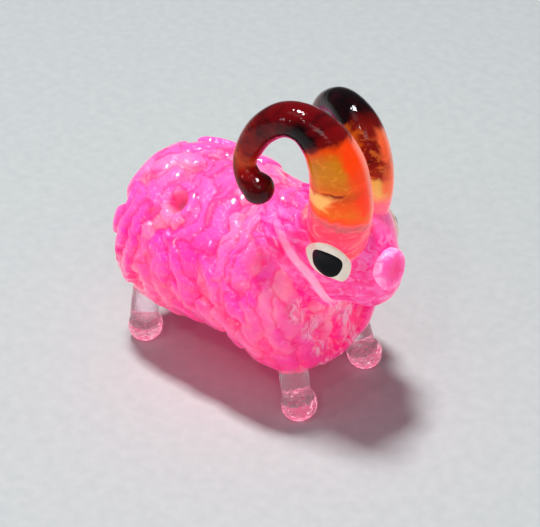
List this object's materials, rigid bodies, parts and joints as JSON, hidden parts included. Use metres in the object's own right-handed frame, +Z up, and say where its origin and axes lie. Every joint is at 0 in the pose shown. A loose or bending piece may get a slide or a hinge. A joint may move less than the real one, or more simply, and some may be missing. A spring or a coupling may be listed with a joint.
{
  "type": "sheep figurine",
  "caption": "Small lampworked glass ram: boxy body under pink melted wool trails, round pink head, tall curled horns, clear rod legs with ball feet.",
  "frame": {"origin": "on the ground, under the middle of the object's overall box", "axes": "+X forward, towards the nose; +Y to the animal's left; +Z up"},
  "size_m": [0.0315, 0.0184, 0.0353],
  "materials": {
    "wool_glass": "fire-polished glossy, bright pink, nearly opaque",
    "head_glass": "fire-polished glossy, streaked pink",
    "nose_glass": "fire-polished glossy pink",
    "clear_core": "clear, faintly pink",
    "eye_cream": "opaque cream, glossy",
    "eye_black": "opaque black, glossy",
    "horn_amber": "glossy amber that turns pink at the root",
    "horn_dark": "glossy, near black to dark red",
    "leg_glass": "clear, fire-polished",
    "foot_glass": "clear with a pink tinge, fire-polished"
  },
  "bodies": {
    "root": {"body_core": "clear_core", "head": "head_glass", "nose": "nose_glass", "right_eye_white": "eye_cream", "right_eye_pupil": "eye_black", "left_eye_white": "eye_cream", "left_eye_pupil": "eye_black", "right_horn_base": "horn_amber", "right_horn_curl": "horn_dark", "left_horn_base": "horn_amber", "left_horn_curl": "horn_dark", "front_right_foot": "foot_glass", "front_right_leg": "leg_glass", "front_left_foot": "foot_glass", "front_left_leg": "leg_glass", "rear_right_foot": "foot_glass", "rear_right_leg": "leg_glass", "rear_left_foot": "foot_glass", "rear_left_leg": "leg_glass", "right_neck_folds": "wool_glass", "left_neck_folds": "wool_glass", "tail": "wool_glass", "back_wool": "wool_glass", "right_flank_wool": "wool_glass", "left_flank_wool": "wool_glass", "belly_wool": "wool_glass", "right_shoulder_wool": "wool_glass", "left_shoulder_wool": "wool_glass", "rump_wool": "wool_glass", "right_chest_wool": "wool_glass", "left_chest_wool": "wool_glass"}
  },
  "joints": []
}
